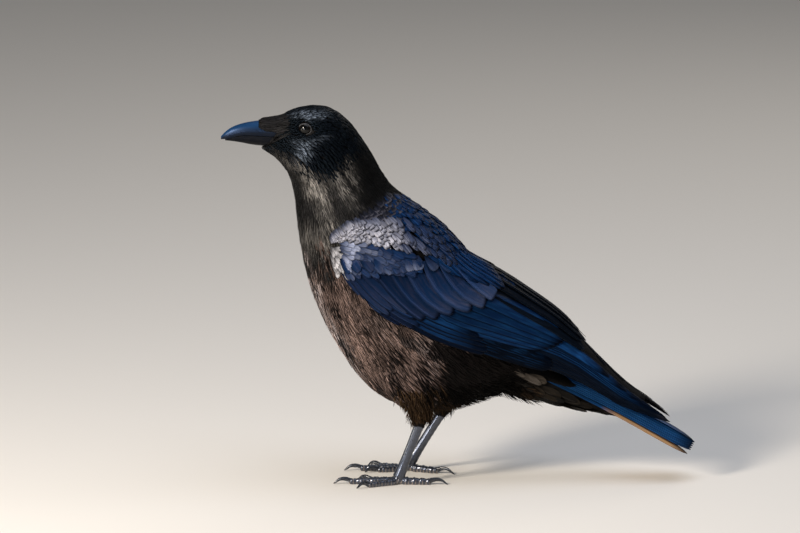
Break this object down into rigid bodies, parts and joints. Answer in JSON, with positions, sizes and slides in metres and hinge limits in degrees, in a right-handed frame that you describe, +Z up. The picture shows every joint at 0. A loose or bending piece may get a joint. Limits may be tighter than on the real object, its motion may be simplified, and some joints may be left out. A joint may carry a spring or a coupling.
{
  "type": "carrion crow, still model",
  "caption": "Life-size still model of an adult carrion crow standing alert on both feet, wings folded, bill level, tail sloping down.",
  "frame": {"origin": "on the floor, under the middle of the bird's bounding box", "axes": "+Z up, -X ahead along the bill, +X back along the tail, -Y to the crow's left and +Y to its right"},
  "size_m": [0.4082, 0.1168, 0.3257],
  "materials": {
    "contour_feathers": "soft black feathers with a faint sheen",
    "flight_feathers": "smooth black feathers with a blue-violet gloss",
    "underparts": "dull brown-black feathers with soft edges",
    "horn": "smooth black horn, slightly glossy",
    "scutes": "black scaly skin with a low gloss",
    "eye": "wet, very dark brown"
  },
  "bodies": {
    "root": {"upper_mandible": "horn", "lower_mandible": "horn", "eye_left": "eye", "eye_right": "eye", "head": "contour_feathers", "neck": "contour_feathers", "trunk": "underparts", "nasal_bristles": "contour_feathers", "tail": "flight_feathers", "undertail_coverts": "underparts", "wing_left": "flight_feathers", "primaries_left": "flight_feathers", "wing_right": "flight_feathers", "primaries_right": "flight_feathers", "tarsus_left": "scutes", "thigh_left": "underparts", "toe_middle_left": "scutes", "toe_inner_left": "scutes", "toe_outer_left": "scutes", "toe_hind_left": "scutes", "claw_middle_left": "horn", "claw_inner_left": "horn", "claw_outer_left": "horn", "claw_hind_left": "horn", "tarsus_right": "scutes", "thigh_right": "underparts", "toe_middle_right": "scutes", "toe_inner_right": "scutes", "toe_outer_right": "scutes", "toe_hind_right": "scutes", "claw_middle_right": "horn", "claw_inner_right": "horn", "claw_outer_right": "horn", "claw_hind_right": "horn"}
  },
  "joints": []
}
